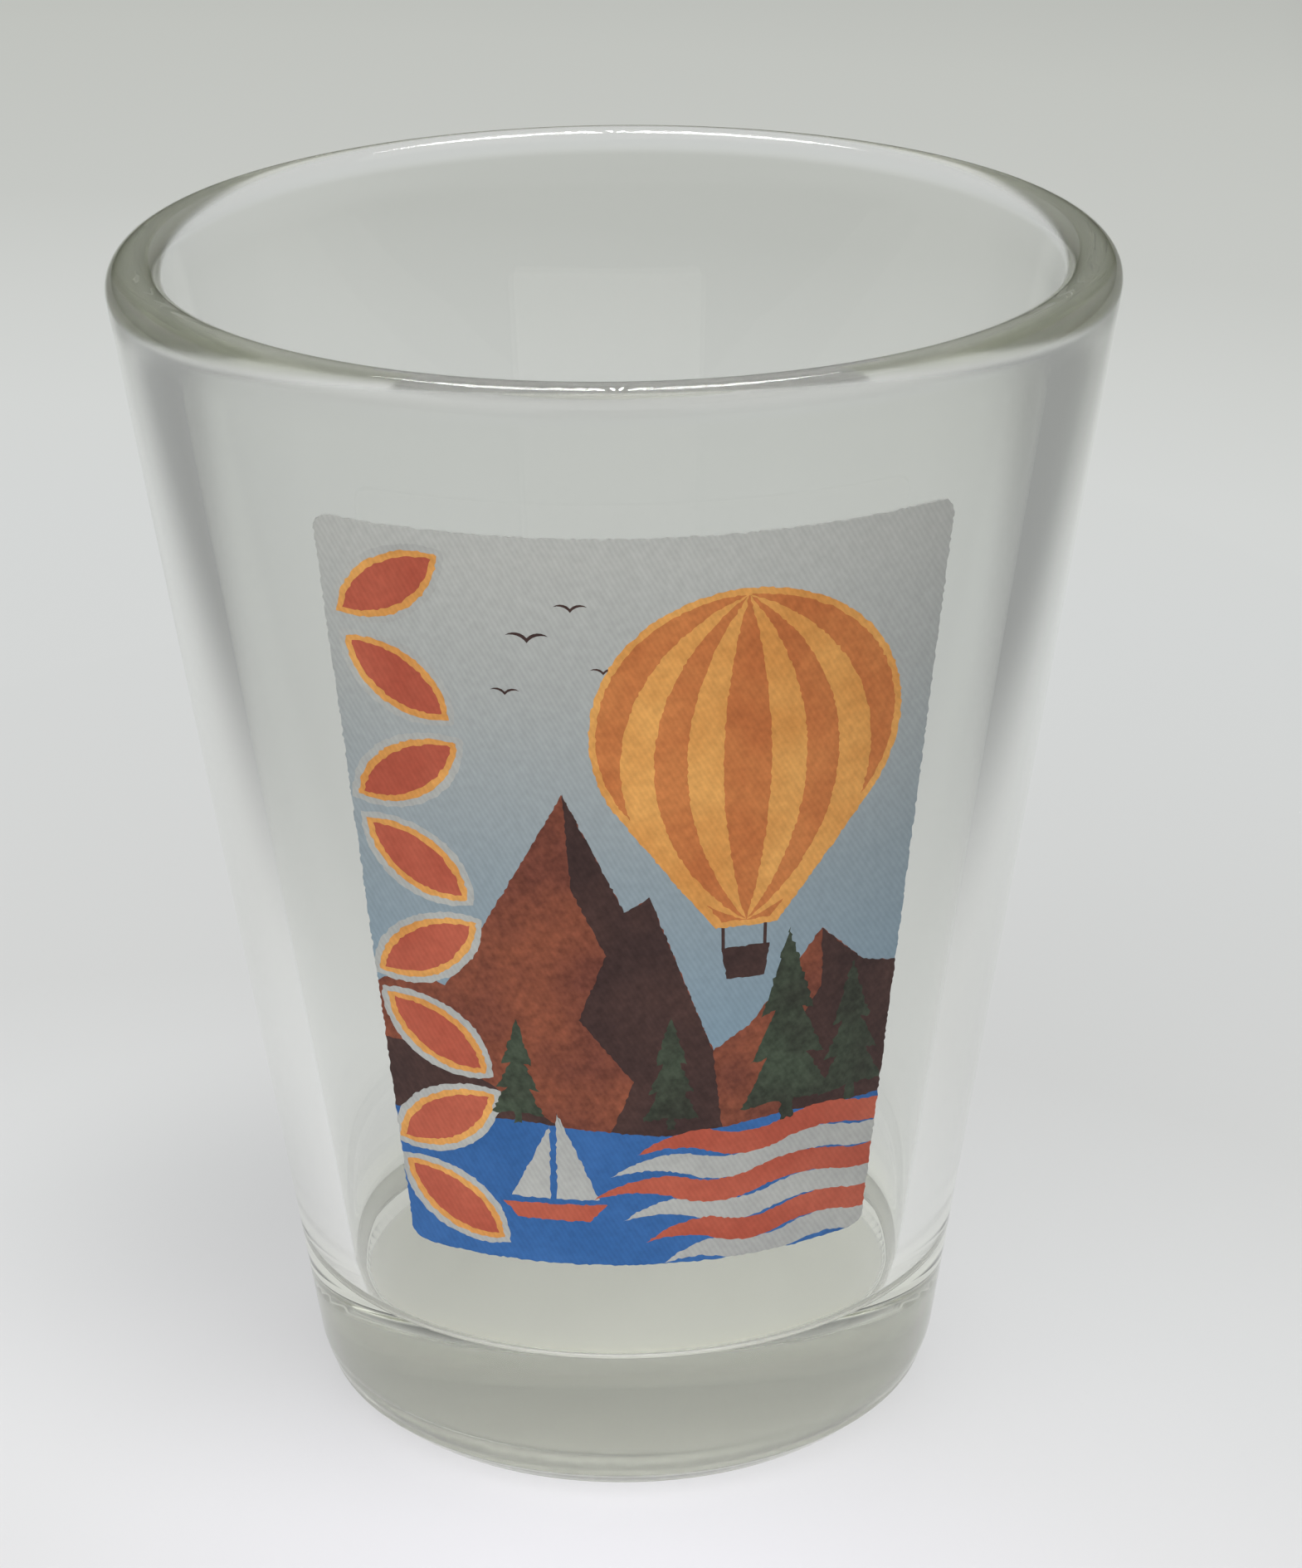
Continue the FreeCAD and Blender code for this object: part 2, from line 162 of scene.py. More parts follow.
# Two tones of each ink, and how strongly it is speckled
INK_TONES = {
    "ground": ((248, 248, 244), (242, 242, 238), 0.02),
    "green": ((62, 72, 58), (48, 50, 42), 0.3),
    "red": ((172, 88, 68), (160, 76, 58), 0.08),
    "orange": ((186, 116, 66), (172, 100, 56), 0.12),
    "yellow": ((208, 152, 84), (194, 134, 70), 0.1),
    "white": ((166, 167, 163), (158, 159, 156), 0.06),
    "blue": ((44, 88, 142), (52, 96, 152), 0.08),
    "brown": ((70, 50, 46), (58, 42, 40), 0.18),
    "terracotta": ((128, 72, 52), (104, 58, 46), 0.25),
}
SKY_TONES = [(0.1, (104, 132, 152)), (0.3, (117, 139, 153)), (0.55, (133, 145, 151)), (0.8, (157, 160, 158)),
             (0.97, (169, 170, 166))]
SKY_SPECKLE = 0.05
SHARE, FIRST, SECOND, RESULT = 0, 6, 7, 2  # sockets of a Mix node that mixes colours

# Floor, its colour with a painted pool of light and painted shade
FLOOR_SIZE = 4.0
AIR_FILM = 0.02 * MM  # between the foot and the floor
FLOOR_SHARE = 0.75  # how much of its light is its own
# Painted pool of light on the paper, brightest a little in front of the glass and duller farther away
LIGHT_POOL_SKEW = (0.35, 1.0, 0)
LIGHT_POOL_MIDDLE = (0, -30 * MM, 0)
LIGHT_POOL_REACH = 400 * MM
# Painted pool of light on the paper: tones by distance from its brightest place in millimetres
LIGHT_POOL_TONES = [(0, (245, 244, 248)), (11, (240, 239, 243)), (30, (226, 226, 227)), (50, (214, 215, 215)),
               (75, (206, 207, 206)), (160, (206, 208, 207)), (190, (206, 208, 206)), (222, (202, 204, 201)),
               (262, (195, 197, 193)), (340, (193, 195, 190)), (400, (187, 189, 184))]
# Painted shade on the paper: a painted shadow in front on the camera's side, darker past the glass's sides,
# and the glass's painted shadow under its back left
DULL = 0.5
PAINTED_SHADOW_FRONT = (-100 * MM, -30 * MM)
DULL_SIDES = (44 * MM, 85 * MM)
SIDES_SPREAD = 0.15  # how much farther apart the dull sides are towards the back
# The glass's painted shadow, darkest under its back left
SHADE_PLACE = (-13 * MM, 12 * MM, 0)
SHADE_BAND = (4 * MM, 30 * MM)
SHADE = 0.8

# Surroundings
SKYLIGHT = [(0, (0.03, 0.032, 0.028, 1)), (0.6, (0.95, 0.96, 0.97, 1))]  # from level to overhead
BEHIND = [(0.3, (0.55, 0.55, 0.55, 1)), (0.85, (1.35, 1.35, 1.35, 1))]  # from the front to the back
WORLD_STRENGTH = 0.6

# Lamps
OVERHEAD = (0.05, 0.05, 0.62)
FRONT_LAMP = (-0.12, -0.48, 0.44)
FRONT_AIM = (0, 0, 0.03)
ROW_BACK, ROW_HEIGHT = 0.15, 0.42
ROW_AIM = (0, 0, 0.06)
LAMP_PAIRS = 18
PAIR_STEP = 11.8 * MM
LAMP_STEP = 4.2 * MM
LAMP_SIZE = (1.5 * MM, 90 * MM)
LAMP_POWER = 0.018

# Camera
CAMERA_DISTANCE = 202.6 * MM
CAMERA_HEIGHT = 115.4 * MM
CAMERA_ROUND = math.radians(-2.4)  # how far it stands round to the left of the picture's middle
CAMERA_AIM = math.radians(0.43)  # turned to the right of the glass's axis
CAMERA_PITCH = math.radians(-22.33)
CAMERA_ROLL = math.radians(-0.54)
LENS = 101.0
BOUNCES = 400  # light runs far down inside the wall from the rim

random.seed(11)


def select_only(piece):
    """Deselect everything, then make one object selected and active."""
    bpy.ops.object.select_all(action="DESELECT")
    piece.select_set(True)
    bpy.context.view_layer.objects.active = piece


def copied(piece, name):
    """Copy of a piece with its own mesh."""
    twin = piece.copy()
    twin.data = piece.data.copy()
    twin.name = name
    bpy.context.collection.objects.link(twin)
    return twin


def applied(piece, kind, **settings):
    """Add one modifier to a piece and apply it."""
    select_only(piece)
    modifier = piece.modifiers.new(kind.lower(), kind)
    for setting, value in settings.items():
        setattr(modifier, setting, value)
    bpy.ops.object.modifier_apply(modifier=modifier.name)


def joined(pieces, name):
    """One object from several."""
    select_only(pieces[0])
    for piece in pieces[1:]:
        piece.select_set(True)
    if len(pieces) > 1:
        bpy.ops.object.join()
    pieces[0].name = name
    return pieces[0]


def smoothed(piece, angle):
    """Smooth shading except over edges sharper than an angle in degrees."""
    select_only(piece)
    bpy.ops.object.shade_smooth_by_angle(angle=math.radians(angle))


# ---------------------------------------------------------------- glass body

def wall_radius(height):
    """Outer wall's radius at a height above the foot plane."""
    return WALL_FOOT + (WALL_TOP - WALL_FOOT) * height / HEIGHT


def arc(centre, radius, first, last, steps):
    """Points along an arc in the half-section, angles in degrees from outward, counter-clockwise."""
    points = []
    for step in range(steps + 1):
        turn = math.radians(first + (last - first) * step / steps)
        points.append((centre[0] + radius * math.cos(turn), centre[1] + radius * math.sin(turn)))
    return points


def half_section():
    """(radius, height) points from the middle of the foot over wall and rim down to the cavity floor."""
    lean = math.degrees(math.atan((WALL_TOP - WALL_FOOT) / HEIGHT))
    slope = math.tan(math.radians(lean))
    inner_slope = (WALL_TOP - RIM_THICKNESS - CAVITY_FLOOR) / (HEIGHT - FLOOR)
    inner_lean = math.degrees(math.atan(inner_slope))
    dome = (PUNT_RADIUS ** 2 + PUNT_DEPTH ** 2) / (2 * PUNT_DEPTH)
    points = [(share * PUNT_RADIUS, math.sqrt(dome ** 2 - (share * PUNT_RADIUS) ** 2) - dome + PUNT_DEPTH)
              for share in (0.04, 0.2, 0.4, 0.6, 0.8, 0.93, 1.0)]
    heel_centre = (WALL_FOOT + slope * HEEL_ROUND - HEEL_ROUND / math.cos(math.radians(lean)), HEEL_ROUND)
    points.append(((PUNT_RADIUS + heel_centre[0]) / 2, 0.0))
    points += arc(heel_centre, HEEL_ROUND, -90, -lean, HEEL_STEPS)
    start = points[-1][1]
    spread = 1 / math.cos(math.radians(lean)) + 1 / math.cos(math.radians(inner_lean))
    round_radius = RIM_THICKNESS / (spread - (slope - inner_slope))
    rim_height = HEIGHT - round_radius
    rim_centre = (wall_radius(rim_height) - round_radius / math.cos(math.radians(lean)), rim_height)
    outer_end = rim_height - round_radius * math.sin(math.radians(lean))
    for step in range(1, WALL_STEPS):
        height = start + (outer_end - start) * step / WALL_STEPS
        points.append((wall_radius(height), height))
    points += arc(rim_centre, round_radius, -lean, 180 - inner_lean, RIM_STEPS)
    inside = CAVITY_FLOOR + inner_slope * FLOOR_ROUND
    floor_centre = (inside - FLOOR_ROUND / math.cos(math.radians(inner_lean)), FLOOR + FLOOR_ROUND)
    top, low = points[-1], arc(floor_centre, FLOOR_ROUND, -inner_lean, -90, FLOOR_ROUND_STEPS)
    for step in range(1, WALL_STEPS):
        share = step / WALL_STEPS
        points.append((top[0] + (low[0][0] - top[0]) * share, top[1] + (low[0][1] - top[1]) * share))
    points += low
    points += [(share * floor_centre[0], FLOOR) for share in (0.8, 0.6, 0.4, 0.2, 0.04)]
    return points


def make_glass():
    """Body drawn up ring by ring from the middle of the foot, over the rim and down to the cavity floor."""
    section = half_section()
    bpy.ops.object.select_all(action="DESELECT")
    bpy.ops.mesh.primitive_circle_add(vertices=FACETS, radius=section[0][0], fill_type="TRIFAN",
                                      location=(0, 0, section[0][1]))
    body = bpy.context.active_object
    body.name = "pressed_glass"
    select_only(body)
    bpy.ops.object.transform_apply()
    bpy.ops.object.mode_set(mode="EDIT")
    bpy.ops.mesh.select_mode(type="EDGE")
    bpy.ops.mesh.select_all(action="DESELECT")
    bpy.ops.mesh.select_non_manifold()
    for before, after in zip(section, section[1:]):
        bpy.ops.mesh.extrude_edges_move(TRANSFORM_OT_translate={"value": (0, 0, after[1] - before[1])})
        grow = after[0] / before[0]
        bpy.ops.transform.resize(value=(grow, grow, 1), center_override=(0, 0, after[1]))
    bpy.ops.mesh.merge(type="CENTER")
    bpy.ops.mesh.select_all(action="SELECT")
    bpy.ops.mesh.normals_make_consistent(inside=False)
    bpy.ops.object.mode_set(mode="OBJECT")
    press(body)
    smoothed(body, 60)
    return body


def press(body):
    """Mould marks round the heel: uneven upright ribs, a bead, and a level seam that fades round it."""
    depths = [random.uniform(0.3, 1.0) for _ in range(RIBS)]
    low, high = RIB_BAND
    for vertex in body.data.vertices:
        radius, height = vertex.co.xy.length, vertex.co.z
        if radius < PUNT_RADIUS + FOOT_MARGIN or height > SEAM_HEIGHT + SEAM_WIDTH:
            continue
        angle = math.atan2(vertex.co.y, vertex.co.x)
        sink = 0
        if low < height < high:
            turn = (angle / (2 * math.pi)) % 1.0 * RIBS
            crest = 0.5 - 0.5 * math.cos(2 * math.pi * turn)
            fade = math.sin(math.pi * (height - low) / (high - low))
            sink = RIB_DEPTH * depths[int(turn) % RIBS] * crest * fade
        elif abs(height - BEAD_HEIGHT) < BEAD_WIDTH:
            sink = -BEAD_RISE * math.cos(math.pi / 2 * (height - BEAD_HEIGHT) / BEAD_WIDTH)
        elif abs(height - SEAM_HEIGHT) < SEAM_WIDTH:
            fade = max(0.0, math.cos(angle - SEAM_MIDDLE)) ** 4
            sink = SEAM_DEPTH * fade * math.cos(math.pi / 2 * (height - SEAM_HEIGHT) / SEAM_WIDTH)
        vertex.co.xy *= (radius - sink) / radius


# ---------------------------------------------------------------- picture

def place(across, up):
    """Front-view place in the picture: across runs from -1 to +1, up from 0 to 1."""
    height = PRINT_LOW + up * (PRINT_HIGH - PRINT_LOW)
    return Vector((across * wall_radius(height) * math.sin(HALF_ANGLE), height))


def bowed(start, finish, radius, turn):
    """Points from start to just before finish along the shorter arc, turning left for 1, right for -1."""
    chord = finish - start
    reach = math.sqrt(max(radius ** 2 - (chord.length / 2) ** 2, 0.0))
    side = Vector((-chord.y, chord.x)).normalized() * reach * turn
    centre = (start + finish) / 2 + side
    arm = start - centre
    sweep = 2 * math.asin(min(chord.length / (2 * radius), 1.0)) * turn
    steps = max(2, round(abs(sweep) * radius / POINT_STEP))
    return [centre + Matrix.Rotation(sweep * step / steps, 2) @ arm for step in range(steps)]


def walked(start, finish):
    """Points from start to just before finish along a straight edge."""
    steps = max(1, round((finish - start).length / POINT_STEP))
    return [start.lerp(finish, step / steps) for step in range(steps)]


def outline(corners):
    """Closed run of points.  A corner is a place, or (place, radius, turn) where an arc starts at it."""
    points = []
    for index, corner in enumerate(corners):
        following = corners[(index + 1) % len(corners)]
        finish = following[0] if isinstance(following, tuple) else following
        if isinstance(corner, tuple):
            points += bowed(corner[0], finish, corner[1], corner[2])
        else:
            points += walked(corner, finish)
    return points


def block(name, corners, ragged=RAGGED):
    """Solid block in front of the wall, with the given outline seen from the front."""
    points = [point + Vector((random.uniform(-ragged, ragged), random.uniform(-ragged, ragged)))
              for point in outline(corners)]
    bpy.ops.object.select_all(action="DESELECT")
    bpy.ops.mesh.primitive_circle_add(vertices=len(points))
    piece = bpy.context.active_object
    piece.name = name
    for vertex, point in zip(piece.data.vertices, points):
        vertex.co = (point.x, FRONT, point.y)
    bpy.ops.object.mode_set(mode="EDIT")
    bpy.ops.mesh.select_all(action="SELECT")
    bpy.ops.mesh.edge_face_add()
    bpy.ops.mesh.extrude_region_move(TRANSFORM_OT_translate={"value": (0, BLOCK_DEPTH, 0)})
    bpy.ops.mesh.select_all(action="SELECT")
    bpy.ops.mesh.normals_make_consistent(inside=False)
    bpy.ops.object.mode_set(mode="OBJECT")
    return piece


def rounded(corners, radius):
    """Corners of an outline with each of them rounded, given counter-clockwise."""
    result = []
    for index, corner in enumerate(corners):
        before, after = corners[index - 1], corners[(index + 1) % len(corners)]
        towards, away = (before - corner).normalized(), (after - corner).normalized()
        tangent = radius / math.tan(towards.angle(away) / 2)
        result += [(corner + towards * tangent, radius, 1), corner + away * tangent]
    return result


def film(name, under, thickness):
    """Sector of a film bent onto the wall, a little larger than the picture."""
    bpy.ops.object.select_all(action="DESELECT")
    bpy.ops.mesh.primitive_grid_add(x_subdivisions=88, y_subdivisions=24, size=2)
    piece = bpy.context.active_object
    piece.name = name
    low, high = PRINT_LOW - 1 * MM, PRINT_HIGH + 1 * MM
    for vertex in piece.data.vertices:
        turn = vertex.co.x * HALF_ANGLE * 1.08
        height = low + (high - low) * (vertex.co.y + 1) / 2
        radius = wall_radius(height) + under - SUNK
        vertex.co = (radius * math.sin(turn), -radius * math.cos(turn), height)
    applied(piece, "SOLIDIFY", thickness=thickness + SUNK, offset=1.0)
    select_only(piece)
    bpy.ops.object.mode_set(mode="EDIT")
    bpy.ops.mesh.select_all(action="SELECT")
    bpy.ops.mesh.normals_make_consistent(inside=False)
    bpy.ops.object.mode_set(mode="OBJECT")
    return piece


def envelope(name, grown):
    """Balloon envelope: a ball drawn down to an open mouth, larger all round by grown."""
    centre = place(*BALLOON)
    radius = BALLOON_RADIUS + grown
    side, dip = radius * math.cos(BALLOON_SHOULDER), radius * math.sin(BALLOON_SHOULDER)
    mouth, drop = BALLOON_MOUTH + grown, BALLOON_DROP + grown
    return block(name, [
        (centre + Vector((side, dip)), radius, 1),
        (centre + Vector((0, radius)), radius, 1),
        centre + Vector((-side, dip)),
        centre + Vector((-mouth, -drop)),
        centre + Vector((mouth, -drop)),
    ])


def gore(name, outer, inner, hand):
    """Gore of the envelope from crown to mouth, between two bows given as shares of its radius."""
    centre = place(*BALLOON)
    crown, mouth = centre + Vector((0, BALLOON_RADIUS)), centre - Vector((0, BALLOON_DROP))
    length = BALLOON_RADIUS + BALLOON_DROP

    def bend(share):
        bow = share * BALLOON_RADIUS
        return (length ** 2 / 4 + bow ** 2) / (2 * bow)

    return block(name, [(mouth, bend(outer), hand), (crown, bend(inner), -hand)])


def leaf(name, index, lines):
    """Tilted leaf of the column, grown by a number of outline widths."""
    centre = place(LEAF_SIDE, (index + LEAF_START) / (LEAVES + LEAF_ROOM))
    tilt = math.radians(LEAF_TILT if index % 2 else 180 - LEAF_TILT)
    length, width = LEAF_LENGTH + 2 * lines * LEAF_EDGE, LEAF_WIDTH + 2 * lines * LEAF_EDGE
    bend = (length ** 2 + width ** 2) / (4 * width)
    arm = Vector((math.cos(tilt), math.sin(tilt))) * length / 2
    return block(name, [(centre + arm, bend, 1), (centre - arm, bend, 1)])


def pine(name, across, up, share):
    """Pine in three tiers."""
    foot, tall = place(across, up), share * PINE_HEIGHT
    left = [(-side, high) for side, high in reversed(PINE_TIERS[:-1])]
    return block(name, [foot + Vector(corner) * tall for corner in PINE_TIERS + left], PINE_RAGGED)


def wave_band(name, start, up):
    """Wavy band of light on the lake, from a pointed start to past the right side of the picture."""
    step = (WAVE_END - start) / WAVE_SWELLS
    lower, upper = [], []
    for index in range(WAVE_SWELLS + 1):
        corner = place(start + index * step, up)
        bend = WAVE_BEND * step * wall_radius(corner.y) * math.sin(HALF_ANGLE)
        swell = 1 if index % 2 else -1
        lower.append((corner, bend, swell))
        upper.append((corner + Vector((0, WAVE_HEIGHT)), bend, swell))
    lower[-1] = lower[-1][0]
    return block(name, lower + upper[:0:-1])


def boat_part(name, corners):
    """Hull or sail, its corners given from the keel as shares of the boat's length."""
    keel = place(*BOAT)
    return block(name, [keel + Vector(corner) * BOAT_LENGTH for corner in corners])


def basket(name):
    """Basket hung under the balloon."""
    top = place(*BALLOON) - Vector((0, BALLOON_DROP + BASKET_GAP))
    half = BASKET_WIDTH / 2
    low = BASKET_TAPER * half
    return block(name, [top + Vector(corner) for corner in (
        (-half, 0), (-low, -BASKET_HEIGHT), (low, -BASKET_HEIGHT), (half, 0))])


def rope(name, hand):
    """Rope from the envelope's mouth to the basket."""
    mouth = place(*BALLOON) - Vector((0, BALLOON_DROP - ROPE_TUCK))
    low = mouth - Vector((0, BASKET_GAP + 2 * ROPE_TUCK))
    top, end = mouth.x + hand * BALLOON_MOUTH * ROPE_TOP, mouth.x + hand * BASKET_WIDTH * ROPE_END
    return block(name, [Vector((top, mouth.y)), Vector((top - ROPE, mouth.y)), Vector((end - ROPE, low.y)),
                        Vector((end, low.y))], 0)


def bird(name, across, up, span):
    """Bird far off, two bowed wings."""
    middle = place(across, up)
    tips = [middle + Vector((side * span / 2, span * WING_TIP)) for side in (1, -1)]
    dip, body = middle + Vector((0, -span * WING_DIP)), middle + Vector((0, span * WING_TOP))
    bend, hollow = span * WING_BEND, span * WING_HOLLOW
    return block(name, [(tips[0], bend, 1), (body, bend, 1), (tips[1], hollow, -1), (dip, hollow, -1)], 0)


def printed(bare, name, blocks, clip=None):
    """Lift the blocks' share of the bare ink layer off as a film of its own, within the clip if any."""
    pieces = []
    for cutter in blocks:
        if clip:
            applied(cutter, "BOOLEAN", operation="INTERSECT", object=clip, solver="MANIFOLD")
        pieces.append(copied(bare, name))
        applied(pieces[-1], "BOOLEAN", operation="INTERSECT", object=cutter, solver="MANIFOLD")
        applied(bare, "BOOLEAN", operation="DIFFERENCE", object=cutter, solver="MANIFOLD")
        bpy.data.objects.remove(cutter)
    return joined(pieces, name)


def make_picture():
    """Ground film and the inks on it, from the foremost motif to the sky behind them all."""
    corners = [place(*pair) for pair in PICTURE]
    ground = film("ground_film", 0, FILM_GAP + GROUND_FILM)
    inset = [corner + Vector((-math.copysign(GROUND_INSET, across), GROUND_INSET * (1 - 2 * up)))
             for corner, (across, up) in zip(corners, PICTURE)]
    edge = block("ground_edge", rounded(inset, CORNER_ROUND), RAGGED / 2)
    applied(ground, "BOOLEAN", operation="INTERSECT", object=edge, solver="MANIFOLD")
    bpy.data.objects.remove(edge)
    bare = film("sky_film", FILM_GAP + GROUND_FILM, FILM_GAP + INK_FILM)
    edge = block("picture_edge", rounded(corners, CORNER_ROUND), RAGGED)
    applied(bare, "BOOLEAN", operation="INTERSECT", object=edge, solver="MANIFOLD")
    bpy.data.objects.remove(edge)

    inks = {"ground": ground}
    inks["green"] = printed(bare, "green_film", [pine(f"pine_{n}", *spec) for n, spec in enumerate(PINES)])
    red = [leaf(f"leaf_{n}", n, 0) for n in range(LEAVES)]
    red += [wave_band(f"red_wave_{n}", *start) for n, start in enumerate(WAVES["red"])]
    red.append(boat_part("hull", HULL))
    inks["red"] = printed(bare, "red_film", red)
    ball, around = envelope("balloon", 0), envelope("balloon_clip", BALLOON_EDGE / 2)
    gores = [gore("gore", *bows, hand) for bows in GORES for hand in (1, -1)]
    stripes = printed(bare, "gore_film", gores, around)
    bpy.data.objects.remove(around)
    inks["orange"] = printed(bare, "orange_film", [ball])
    yellow = [leaf(f"leaf_edge_{n}", n, 1) for n in range(LEAVES)]
    yellow.append(envelope("balloon_edge", BALLOON_EDGE))
    inks["yellow"] = joined([printed(bare, "yellow_film", yellow), stripes], "yellow_film")
    white = [leaf(f"leaf_halo_{n}", n, 2) for n in range(LEAVES)]
    white += [wave_band(f"white_wave_{n}", *start) for n, start in enumerate(WAVES["white"])]
    white += [boat_part(f"sail_{n}", sail) for n, sail in enumerate(SAILS)]
    inks["white"] = printed(bare, "white_film", white)
    inks["blue"] = printed(bare, "blue_film", [block("lake", [place(*pair) for pair in LAKE])])
    slopes = [block(name, [place(*pair) for pair in pairs]) for name, pairs in SHADED_SLOPES.items()]
    birds = [bird(f"bird_{n}", *spec) for n, spec in enumerate(BIRDS)]
    ropes = [rope("rope", hand) for hand in (1, -1)]
    inks["brown"] = printed(bare, "brown_film", slopes + birds + ropes + [basket("basket")])
    mountains = block("mountains", [place(*pair) for pair in MOUNTAINS])
    inks["terracotta"] = printed(bare, "terracotta_film", [mountains])
    inks["sky"] = bare
    for piece in inks.values():
        select_only(piece)
        bpy.ops.object.mode_set(mode="EDIT")
        bpy.ops.mesh.select_all(action="SELECT")
        bpy.ops.mesh.dissolve_degenerate(threshold=SLIVER)
        bpy.ops.object.mode_set(mode="OBJECT")
        smoothed(piece, 35)
    return inks


# ---------------------------------------------------------------- materials

def linear(red, green, blue):
    """Linear colour from 0..255 display values."""
    channels = []
    for value in (red / 255, green / 255, blue / 255):
        channels.append(value / 12.92 if value <= 0.04045 else ((value + 0.055) / 1.055) ** 2.4)
    return (*channels, 1.0)


def grey(value):
    """Neutral linear colour."""
    return (value, value, value, 1)


def graded(fade, stops):
    """Give a colour ramp node its stops, (position, linear colour) from the lowest to the highest."""
    elements = fade.color_ramp.elements
    for element, (position, colour) in zip(list(elements), (stops[0], stops[-1])):
        element.position = position
        element.color = colour
    for position, colour in stops[1:-1]:
        elements.new(position).color = colour


def new_material(name):
    """Node material, its shader and a maker of further nodes."""
    material = bpy.data.materials.new(name)
    material.use_nodes = True
    nodes = material.node_tree.nodes
    shader = nodes["Principled BSDF"]

    def node(kind, **settings):
        made = nodes.new(kind)
        for setting, value in settings.items():
            if hasattr(made, setting):
                setattr(made, setting, value)
            else:
                made.inputs[setting.replace("_", " ")].default_value = value
        return made

    return material, shader, node, material.node_tree.links.new


def glass_material():
    """Clear pressed glass: faint waviness on the surface and a grey-green tint in its depth.

    The underside of the foot and the flanks of the rim are less polished than the rest.
    """
    material, shader, node, link = new_material("pressed_glass")
    shader.inputs["IOR"].default_value = 1.52
    shader.inputs["Transmission Weight"].default_value = 1.0
    place_on = node("ShaderNodeTexCoord")
    split = node("ShaderNodeSeparateXYZ")
    link(place_on.outputs["Object"], split.inputs["Vector"])

    level = node("ShaderNodeMapRange", From_Max=FLOOR + 2 * FLOOR_ROUND)
    tint = node("ShaderNodeValToRGB")
    graded(tint, GLASS_TINTS)
    link(split.outputs["Z"], level.inputs["Value"])
    link(level.outputs["Result"], tint.inputs["Fac"])
    link(tint.outputs["Color"], shader.inputs["Base Color"])

    whole = node("ShaderNodeMapRange", From_Max=HEIGHT)
    soft = node("ShaderNodeValToRGB")
    graded(soft, [(height / HEIGHT, grey(rough)) for height, rough in GLASS_SOFTNESS])
    link(split.outputs["Z"], whole.inputs["Value"])
    link(whole.outputs["Result"], soft.inputs["Fac"])
    link(soft.outputs["Color"], shader.inputs["Roughness"])

    stretch = node("ShaderNodeMapping", Scale=(1.0, 1.0, 0.35))
    ripple = node("ShaderNodeTexNoise", Scale=70.0, Detail=1.0)
    bump = node("ShaderNodeBump", Strength=0.3, Distance=0.0002)
    link(place_on.outputs["Object"], stretch.inputs["Vector"])
    link(stretch.outputs["Vector"], ripple.inputs["Vector"])
    link(ripple.outputs["Fac"], bump.inputs["Height"])
    link(bump.outputs["Normal"], shader.inputs["Normal"])

    depth = node("ShaderNodeVolumeAbsorption", Color=(0.978, 0.98, 0.968, 1), Density=100.0)
    output = material.node_tree.nodes["Material Output"]
    link(depth.outputs["Volume"], output.inputs["Volume"])
    return material


def ink_material(name, colour, other, speckle):
    """Fired enamel: two tones mottled together, then the finish that every ink shares."""
    material, shader, node, link = new_material(name)
    place_on = node("ShaderNodeTexCoord")
    cloud = node("ShaderNodeTexNoise", Scale=260.0, Detail=5.0)
    share = node("ShaderNodeMapRange", From_Min=0.36, From_Max=0.64)
    tones = node("ShaderNodeMix", data_type="RGBA")
    tones.inputs[FIRST].default_value = linear(*colour)
    tones.inputs[SECOND].default_value = linear(*other)
    link(place_on.outputs["Object"], cloud.inputs["Vector"])
    link(cloud.outputs["Fac"], share.inputs["Value"])
    link(share.outputs["Result"], tones.inputs[SHARE])
    finish_ink(shader, node, link, place_on, tones.outputs[RESULT], speckle)
    return material


def finish_ink(shader, node, link, place_on, colour, speckle):
    """Speckle, a fine slanting screen, grain and a satin gloss."""
    dots = node("ShaderNodeTexNoise", Scale=2600.0, Detail=3.0)
    spots = node("ShaderNodeMapRange", From_Min=0.3, From_Max=0.7, To_Min=1.0 - speckle, To_Max=1.0 + speckle)
    slant = node("ShaderNodeMapping", Rotation=(0, math.radians(28), 0))
    screen = node("ShaderNodeTexWave", Scale=1400.0, Distortion=1.5, Detail=2.0)
    soften = node("ShaderNodeMapRange", To_Min=0.96, To_Max=1.04)
    both = node("ShaderNodeMath", operation="MULTIPLY")
    lined = node("ShaderNodeMix", data_type="RGBA", blend_type="MULTIPLY")
    lined.inputs[SHARE].default_value = 1.0
    link(place_on.outputs["Object"], dots.inputs["Vector"])
    link(dots.outputs["Fac"], spots.inputs["Value"])
    link(place_on.outputs["Object"], slant.inputs["Vector"])
    link(slant.outputs["Vector"], screen.inputs["Vector"])
    link(screen.outputs["Fac"], soften.inputs["Value"])
    link(spots.outputs["Result"], both.inputs[0])
    link(soften.outputs["Result"], both.inputs[1])
    link(colour, lined.inputs[FIRST])
    link(both.outputs[0], lined.inputs[SECOND])
    link(lined.outputs[RESULT], shader.inputs["Base Color"])

    grain = node("ShaderNodeTexNoise", Scale=4200.0, Detail=2.0)
    bump = node("ShaderNodeBump", Strength=0.25, Distance=0.00004)
    link(place_on.outputs["Object"], grain.inputs["Vector"])
    link(grain.outputs["Fac"], bump.inputs["Height"])
    link(bump.outputs["Normal"], shader.inputs["Normal"])
    shader.inputs["Roughness"].default_value = 0.5
    shader.inputs["Specular IOR Level"].default_value = 0.15


